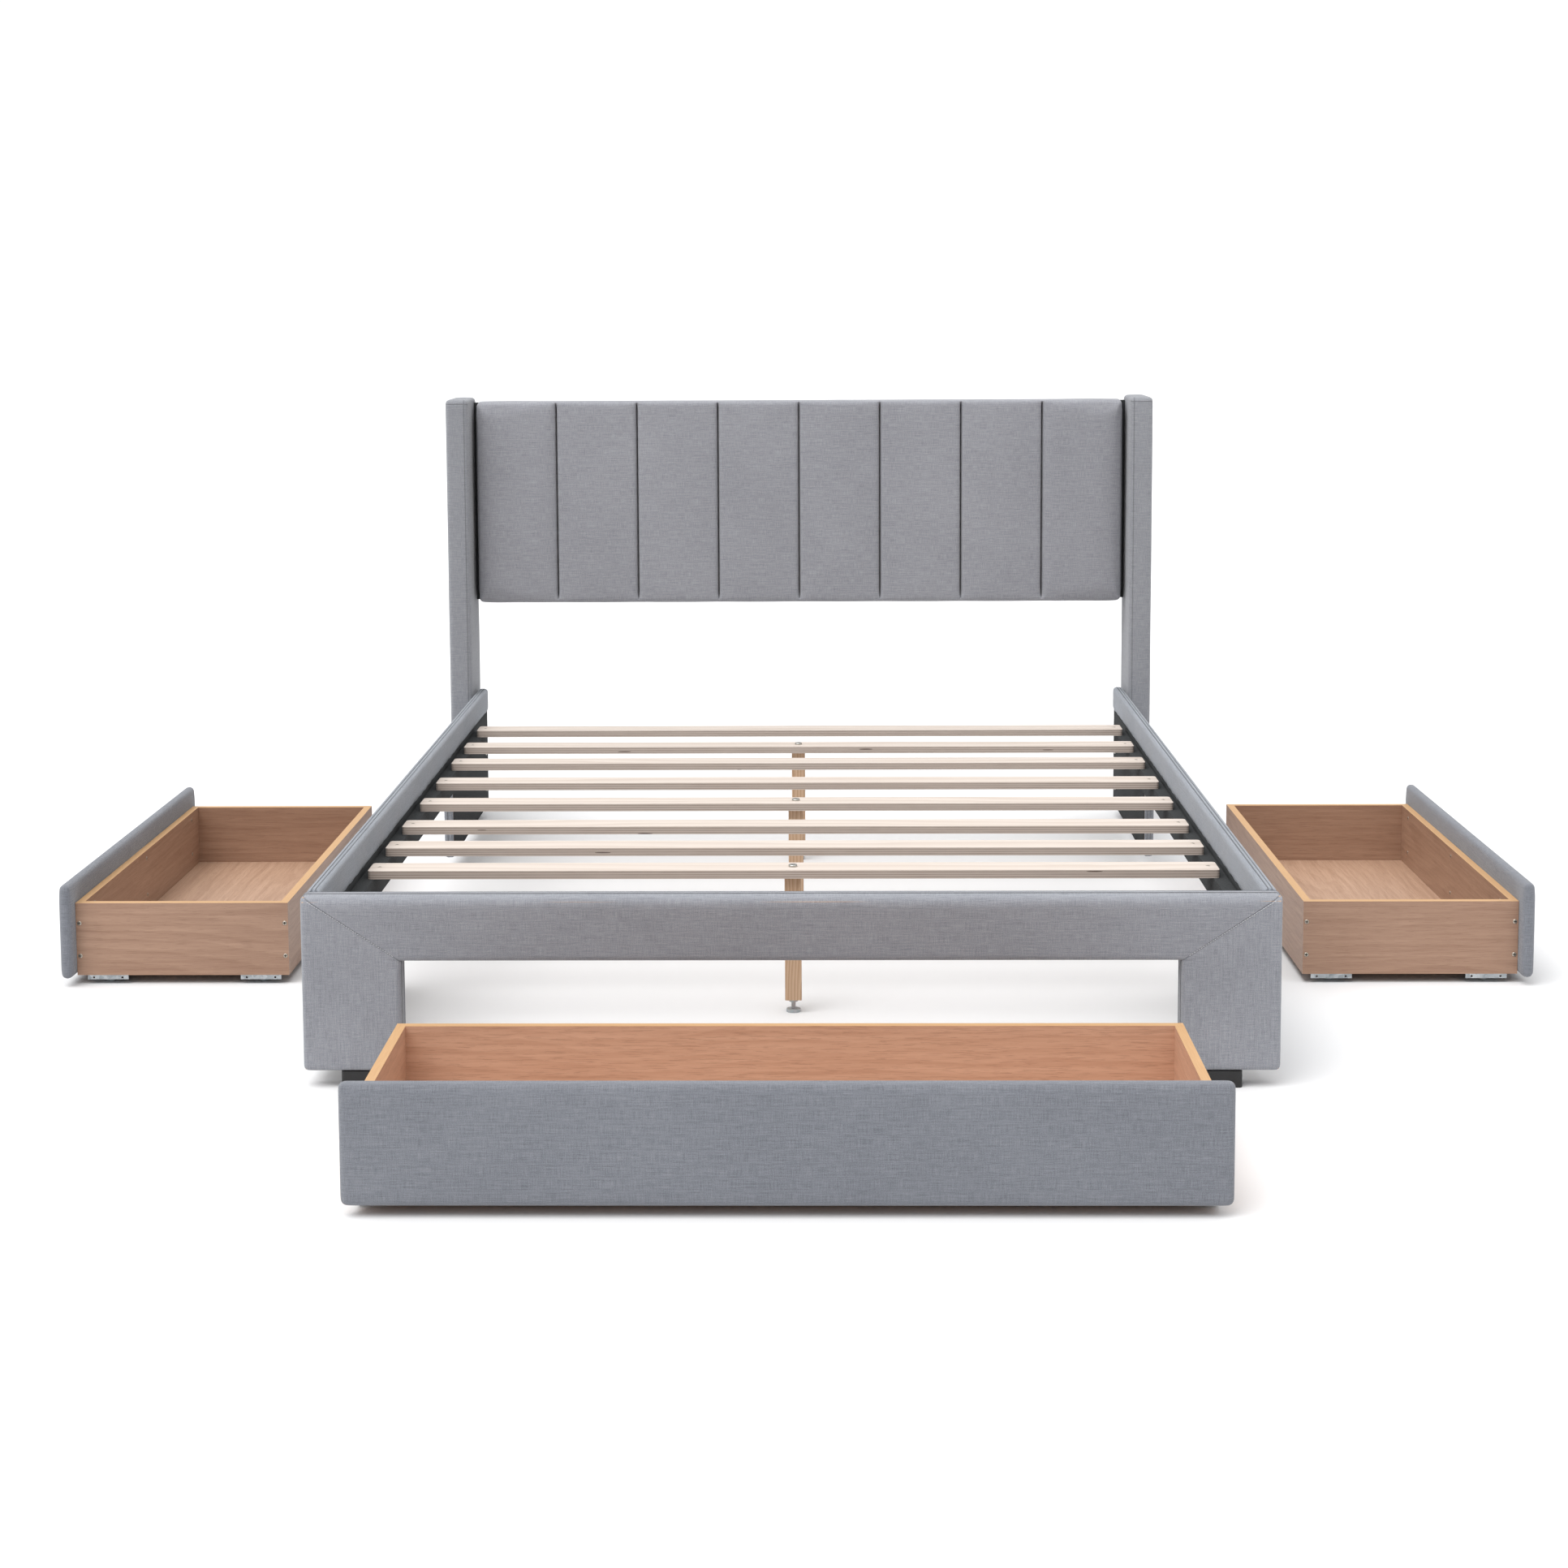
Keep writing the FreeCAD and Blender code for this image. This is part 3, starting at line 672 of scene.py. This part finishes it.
# ---------------------------------------------------------------- Slats
# Nine sprung slats of thin birch plies glued face to face, sanded, with their corners rounded.
# They lie on the ledgers. Knots and dark plies show along their front edges.

def grain(tree, place, stretch, scale):
    """Noise drawn out along X, the way the fibres run."""
    drawn = node(tree, "Mapping", {"Vector": place, "Scale": (stretch, 1.0, 1.0)}).outputs[0]
    settings = {"Vector": drawn, "Scale": scale, "Detail": 5.0, "Distortion": 0.3}
    return node(tree, "TexNoise", settings).outputs[0]


def wood_figure():
    """Sawn wood with its fibres along X: fine pores, and broad growth rings that bend into
    arches where a slow noise bends them."""
    tree, given, result = group(
        "wood figure", [("Place", "Vector", None), ("Ring", "Float", 22.0), ("Bend", "Float", 1.0)],
        [(name, "Float") for name in ("Rings", "Streaks", "Pores", "Height")])
    slow = grain(tree, given["Place"], 0.16, 5.0)
    bent = sums(tree, "MULTIPLY", slow, given["Bend"])
    flat = node(tree, "SeparateXYZ", {0: given["Place"]}).outputs
    across = sums(tree, "ADD", flat[1], flat[2])
    rings = sums(tree, "ADD", sums(tree, "MULTIPLY", across, given["Ring"]),
                 sums(tree, "MULTIPLY", bent, 6.0))
    saw = sums(tree, "FRACT", rings)
    rings = sums(tree, "POWER", saw, 1.8)
    rings = sums(tree, "MULTIPLY", rings, sums(tree, "SUBTRACT", 1.0, sums(tree, "POWER", saw, 14.0)))
    pores = grain(tree, given["Place"], 0.035, 900.0)
    tree.links.new(rings, result["Rings"])
    tree.links.new(grain(tree, given["Place"], 0.03, 170.0), result["Streaks"])
    tree.links.new(pores, result["Pores"])
    tree.links.new(sums(tree, "MULTIPLY_ADD", rings, 0.3, pores), result["Height"])
    return tree


WOOD = wood_figure()
SLAT_BOTTOM, SLAT_TOP = (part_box("slat_1")[k][2] for k in (0, 1))
PLY_PAIR = 0.0043                                       # one light ply and one dark, together


def slat_colour(tree):
    place = object_place(tree)
    figure = placed(tree, WOOD, {"Place": place, "Ring": 30.0, "Bend": 0.8})
    face = blend(tree, figure["Rings"], linear(214, 204, 195), linear(192, 178, 166))
    face = blend(tree, sums(tree, "MULTIPLY", figure["Pores"], 0.35), face, linear(172, 155, 142))
    height = node(tree, "SeparateXYZ", {0: place}).outputs[2]
    plies = sums(tree, "MULTIPLY", sums(tree, "SUBTRACT", height, SLAT_BOTTOM), 1 / PLY_PAIR)
    layer = sums(tree, "GREATER_THAN", sums(tree, "FRACT", plies), 0.55)
    streak = sums(tree, "MULTIPLY_ADD", grain(tree, place, 0.1, 160.0), 0.7, 0.3)
    edge = blend(tree, sums(tree, "MULTIPLY", layer, streak), linear(188, 175, 165), linear(134, 119, 109))
    cells = object_place(tree, scale=(5.0, 12.0, 60.0))
    knot = node(tree, "TexVoronoi", {"Vector": cells, "Scale": 1.0}).outputs[0]
    dark = sums(tree, "LESS_THAN", knot, 0.075)
    edge = blend(tree, sums(tree, "MULTIPLY", dark, 0.8), edge, linear(70, 52, 42))
    return blend(tree, sums(tree, "GREATER_THAN", height, SLAT_TOP - 0.0002), edge, face)


def pores(tree):
    return placed(tree, WOOD, {"Place": object_place(tree)})["Height"]


SLATS = ["slat_%d" % number for number in range(1, 10)]
finish_nodes(surface("birch_plies", slat_colour, pores, 0.0003, 0.4, 0.55), *SLATS)
for name in SLATS:
    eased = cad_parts[name].modifiers.new("sanded edges", "BEVEL")
    eased.width, eased.segments = 0.0012, 2


# ---------------------------------------------------------------- Centre legs, boards and feet
# Pine legs stand under three slats. The boards inside the cloth are plywood and pine, seen only
# where the cloth ends. The feet are black moulded plastic, and the glides pale nylon.

def pine_colour(tree):
    place = object_place(tree, turn=(0, math.pi / 2, 0))
    figure = placed(tree, WOOD, {"Place": place, "Ring": 130.0, "Bend": 2.2})
    wood = blend(tree, figure["Rings"], linear(206, 178, 150), linear(168, 130, 98))
    return blend(tree, sums(tree, "MULTIPLY", figure["Pores"], 0.3), wood, linear(160, 118, 84))


def pine_height(tree):
    place = object_place(tree, turn=(0, math.pi / 2, 0))
    return placed(tree, WOOD, {"Place": place, "Ring": 130.0})["Height"]


PINE = surface("planed_pine", pine_colour, pine_height, 0.0003, 0.4, 0.6)
boards = ["footboard_board", "left_rail_board", "right_rail_board", "left_wing_frame", "right_wing_frame"]
boards += [side + "_drawer_front_board" for side in ("foot", "left", "right")]
finish_nodes(PINE, "support_legs", *boards)
finish_nodes(LINING, "headboard_board")


def speckle(tree, scale, dark, light):
    noise = node(tree, "TexNoise", {"Vector": object_place(tree), "Scale": scale, "Detail": 3.0})
    return blend(tree, noise.outputs[0], linear(*dark), linear(*light))


def fine_grain(tree):
    return node(tree, "TexNoise", {"Vector": object_place(tree), "Scale": 1500.0}).outputs[0]


BLACK_PLASTIC = surface("black_plastic", lambda tree: speckle(tree, 90, (20, 20, 21), (34, 34, 35)),
                        fine_grain, 0.0002, 0.4, 0.5)
NYLON = surface("pale_nylon", lambda tree: speckle(tree, 60, (158, 163, 166), (186, 190, 192)),
                fine_grain, 0.0001, 0.3, 0.35, Subsurface_Weight=0.15)
finish_nodes(BLACK_PLASTIC, "footboard_feet")
finish_nodes(NYLON, "floor_glides")
foot_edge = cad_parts["footboard_feet"].modifiers.new("moulded edges", "BEVEL")
foot_edge.width, foot_edge.segments = 0.0015, 2


# ---------------------------------------------------------------- Steel hardware
# Zinc-plated angles and bolts join the rails to the footboard and wings. A round-head bolt
# goes down through each centre leg's slat.

def spangle(tree):
    flakes = node(tree, "TexVoronoi", {"Vector": object_place(tree), "Scale": 140.0}).outputs["Color"]
    tone = node(tree, "SeparateColor", {0: flakes}).outputs[0]
    return blend(tree, tone, linear(150, 157, 161), linear(190, 195, 198))


GALVANISED = surface("galvanised_steel", spangle, fine_grain, 0.0001, 0.2, 0.36, Metallic=0.95)
ZINC = surface("zinc_plating", lambda tree: speckle(tree, 500, (168, 166, 160), (205, 203, 198)),
               fine_grain, 0.0001, 0.2, 0.3, Metallic=1.0)
finish_nodes(GALVANISED, "corner_brackets")
finish_nodes(ZINC, "bed_bolts", "leg_bolts")


# ---------------------------------------------------------------- Drawer boxes
# Each box is five panels of particle board faced with beech-pattern foil, with pale banding on
# the walls' edges. The side walls cover the ends of the other two, and screws go in from outside.

BOX_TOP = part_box("foot_drawer_back")[1][2]


def beech(name, along_y, light, dark):
    """Beech foil with its figure along X, or along Y, and pale banding on the top edge."""
    turn = (0, 0, math.pi / 2 if along_y else 0)

    def colour(tree):
        figure = placed(tree, WOOD, {"Place": object_place(tree, turn=turn), "Ring": 34.0, "Bend": 2.0})
        streaks = sums(tree, "MULTIPLY_ADD", sums(tree, "SUBTRACT", figure["Streaks"], 0.5), 1.3, 0.35)
        share = clamped(tree, sums(tree, "MULTIPLY_ADD", figure["Rings"], 0.35, streaks))
        foil = blend(tree, share, linear(*light), linear(*dark))
        flecks = sums(tree, "MULTIPLY", sums(tree, "GREATER_THAN", figure["Pores"], 0.58), 0.24)
        foil = blend(tree, flecks, foil, linear(104, 72, 54))
        height = node(tree, "SeparateXYZ", {0: object_place(tree)}).outputs[2]
        band = blend(tree, figure["Pores"], linear(206, 168, 122), linear(182, 140, 98))
        return blend(tree, sums(tree, "GREATER_THAN", height, BOX_TOP - 0.0002), foil, band)

    def height(tree):
        return placed(tree, WOOD, {"Place": object_place(tree, turn=turn), "Ring": 85.0})["Pores"]

    return surface(name, colour, height, 0.00015, 0.3, 0.42, Specular_IOR_Level=0.4)


# Light and dark tones of the walls' foil, then of the floor's. They are lit and shaded copies of one beech
# foil: the foot drawer's are painted paler, and the side drawers' walls are painted darker than their
# floors.
FOIL_TONES_BY_LIGHT = {"foot": (((210, 171, 146), (184, 143, 118)), ((204, 169, 145), (178, 141, 117))),
         "side": (((172, 139, 117), (143, 110, 90)), ((184, 152, 129), (154, 122, 100)))}
DRAWERS = {"foot": ("left", "right"), "left": ("head", "foot"), "right": ("head", "foot")}
for drawer, ends in DRAWERS.items():
    sideways = drawer != "foot"
    prefix = drawer + "_drawer_"
    wall_tones, floor_tones = FOIL_TONES_BY_LIGHT["side" if sideways else "foot"]
    walls = {along_y: beech("%s_wall_%d" % (drawer, along_y), along_y, *wall_tones)
             for along_y in (False, True)}
    finish_nodes(walls[sideways], prefix + "inner_front", prefix + "back")
    finish_nodes(walls[not sideways], *[prefix + end + "_side" for end in ends])
    finish_nodes(beech(drawer + "_floor", sideways, *floor_tones), prefix + "bottom")


# ---------------------------------------------------------------- Drawer fronts
# A board in wadding and cloth, screwed on from inside the box. Its edges are softly rounded.

# The same grey cloth as the other covers, given darker tones: painted shade for the fronts low in the bays.
DRAWER_CLOTH_SHADED = upholstery("grey_linen_drawers_painted_shade", (145, 148, 155), (98, 101, 109))
for drawer in DRAWERS:
    fascia = padded_board(drawer + "_drawer_upholstery", drawer + "_drawer_front_cover", 0.0105, 0.012,
                          DRAWER_CLOTH_SHADED, 0.0006, 0.0020)
    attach(fascia, drawer + "_drawer")


# ---------------------------------------------------------------- Drawer screws and casters
# Two countersunk screws hold each end of each side wall, and six go through the inner front.
# Four fixed casters sit under the corners: a folded bracket, a riveted pin and a nylon wheel.

def screw_colour(tree):
    """Zinc, with a dark cross of painted shade standing in for the driver's recess."""
    spot = node(tree, "SeparateXYZ", {0: node(tree, "UVMap", uv_map="cut").outputs[0]}).outputs
    across, up = (sums(tree, "ABSOLUTE", spot[k]) for k in (0, 1))
    # Painted shade: the cross recess is not cut into the head, so its shade is painted on the dome.
    slot = sums(tree, "LESS_THAN", sums(tree, "MINIMUM", across, up), 0.16)
    cross = sums(tree, "MULTIPLY", slot, sums(tree, "LESS_THAN", sums(tree, "MAXIMUM", across, up), 0.62))
    return blend(tree, cross, linear(178, 170, 158), linear(38, 34, 30))


SCREW_STEEL = surface("screw_steel", screw_colour, roughness=0.35, Metallic=0.8)


def screw_heads(name, body, places, ways, radius=0.0043):
    """Shallow domes of four rings, one at each place, facing its way. Within the rim each
    ring stands higher than the one outside it."""
    places, ways = np.array(places), np.array(ways, float)
    across = np.cross(ways, np.where(np.abs(ways[:, 2:]) > 0.5, [[0, 1.0, 0]], [[0, 0, 1.0]]))
    up = np.cross(across, ways)
    turns = 16
    turn = np.linspace(0, 2 * math.pi, turns + 1)[:-1]
    rings = [(1.0, -0.0004), (1.0, 0.0002), (0.6, 0.0007), (0.02, 0.0009)]
    flat = np.array([[(r * math.cos(t), r * math.sin(t), h) for t in turn] for r, h in rings]).reshape(-1, 3)
    points = (places[:, None] + flat[None, :, :1] * radius * across[:, None]
              + flat[None, :, 1:2] * radius * up[:, None] + flat[None, :, 2:] * ways[:, None])
    index = np.arange(len(rings) * turns).reshape(len(rings), turns)
    nextto = np.roll(index, -1, axis=1)
    quad = np.stack([index[:-1], index[1:], nextto[1:], nextto[:-1]], axis=-1).reshape(-1, 4)
    quads = (quad[None] + index.size * np.arange(len(places))[:, None, None]).reshape(-1, 4)
    uvs = np.tile(flat[:, :2], (len(places), 1))[quads].reshape(-1, 2)
    item = piece(name, points.reshape(-1, 3), quads, uvs)
    item.data.materials.append(SCREW_STEEL)
    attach(item, body)


WALL_SCREW_Z = (0.054, 0.117)
FRONT_SCREW_Z = (0.063, 0.139)
WALL_SCREW_IN, FRONT_SCREW_IN = 0.0065, 0.06            # in from the wall's ends, and the front's
SLAT_SCREW_IN = 0.017
for drawer, ends in DRAWERS.items():
    places, ways = [], []
    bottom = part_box(drawer + "_drawer_bottom")
    run = 0 if drawer == "foot" else 1                  # the axis that the front runs along
    out = 1 - run
    for end in ends:
        low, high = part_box("%s_drawer_%s_side" % (drawer, end))
        way = np.zeros(3)
        way[run] = 1 if low[run] + high[run] > bottom[0][run] + bottom[1][run] else -1
        for across in (low[out] + WALL_SCREW_IN, high[out] - WALL_SCREW_IN):
            for z in WALL_SCREW_Z:
                spot = np.array([0, 0, z])
                spot[run] = high[run] if way[run] > 0 else low[run]
                spot[out] = across
                places.append(spot)
                ways.append(way)
    low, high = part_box(drawer + "_drawer_inner_front")
    inward = 1 if bottom[0][out] + bottom[1][out] > low[out] + high[out] else -1
    for along in np.linspace(low[run] + FRONT_SCREW_IN, high[run] - FRONT_SCREW_IN, 3):
        for z in FRONT_SCREW_Z:
            spot, way = np.array([0, 0, z]), np.zeros(3)
            way[out] = inward
            spot[run] = along
            spot[out] = high[out] if inward > 0 else low[out]
            places.append(spot)
            ways.append(way)
    screw_heads(drawer + "_drawer_screws", drawer + "_drawer", places, ways)
    finish_nodes(GALVANISED, drawer + "_drawer_casters")
    finish_nodes(NYLON, drawer + "_drawer_front_wheels", drawer + "_drawer_rear_wheels")


# One small screw holds each end of each slat to its ledger.
places = []
for name in SLATS:
    low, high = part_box(name)
    ends = (low[0] + SLAT_SCREW_IN, high[0] - SLAT_SCREW_IN)
    places += [(x, (low[1] + high[1]) / 2, high[2]) for x in ends]
screw_heads("slat_screws", "bed", places, [(0, 0, 1)] * len(places), 0.0038)


# ---------------------------------------------------------------- Studio
# A plain pale floor, a white sky and one broad lamp like a high window. The camera looks from
# the foot. The sky is brightest overhead and dim at the horizon; to the camera it is plain white.

SKY_TOP, SKY_EDGE, SKY_SEEN = 1.55, 0.12, 1.05
floor = piece("studio_floor", np.array([[-30, -30, 0], [30, -30, 0], [30, 30, 0], [-30, 30, 0]], float),
              np.array([[0, 1, 2, 3]]))
floor.data.materials.append(surface("studio_white", lambda tree: (0.78, 0.78, 0.785, 1), roughness=0.9))

world = bpy.data.worlds.new("white sky")
bpy.context.scene.world = world
world.use_nodes = True
sky = world.node_tree
height = node(sky, "SeparateXYZ", {0: node(sky, "TexCoord").outputs["Generated"]}).outputs[2]
glow = sums(sky, "MULTIPLY_ADD", sums(sky, "MAXIMUM", height, 0.0), SKY_TOP, SKY_EDGE)
seen = node(sky, "LightPath").outputs["Is Camera Ray"]
glow = sums(sky, "ADD", sums(sky, "MULTIPLY", glow, sums(sky, "SUBTRACT", 1.0, seen)),
            sums(sky, "MULTIPLY", seen, SKY_SEEN))
sky.links.new(glow, sky.nodes["Background"].inputs["Strength"])
sky.nodes["Background"].inputs["Color"].default_value = (1.0, 1.0, 1.0, 1)

sun = bpy.data.lights.new("high window", "SUN")
sun.energy, sun.angle = 2.0, math.radians(50)
sun_item = bpy.data.objects.new("high window", sun)
bpy.context.scene.collection.objects.link(sun_item)
sun_item.rotation_euler = (math.radians(18), math.radians(-24), 0)

camera_data = bpy.data.cameras.new("camera")
camera_data.sensor_width, camera_data.lens = 36.0, 57.8
camera_data.shift_y = -0.15
camera_data.clip_end = 100
camera = bpy.data.objects.new("camera", camera_data)
bpy.context.scene.collection.objects.link(camera)
camera.matrix_world = (Matrix.Translation((0.0502, -4.830, 1.2967)) @ Matrix.Rotation(0.01425, 4, "Z")
                       @ Matrix.Rotation(math.pi / 2 - 0.1016, 4, "X") @ Matrix.Rotation(-0.0048, 4, "Z"))
bpy.context.scene.camera = camera
bpy.context.scene.view_settings.view_transform = "Standard"
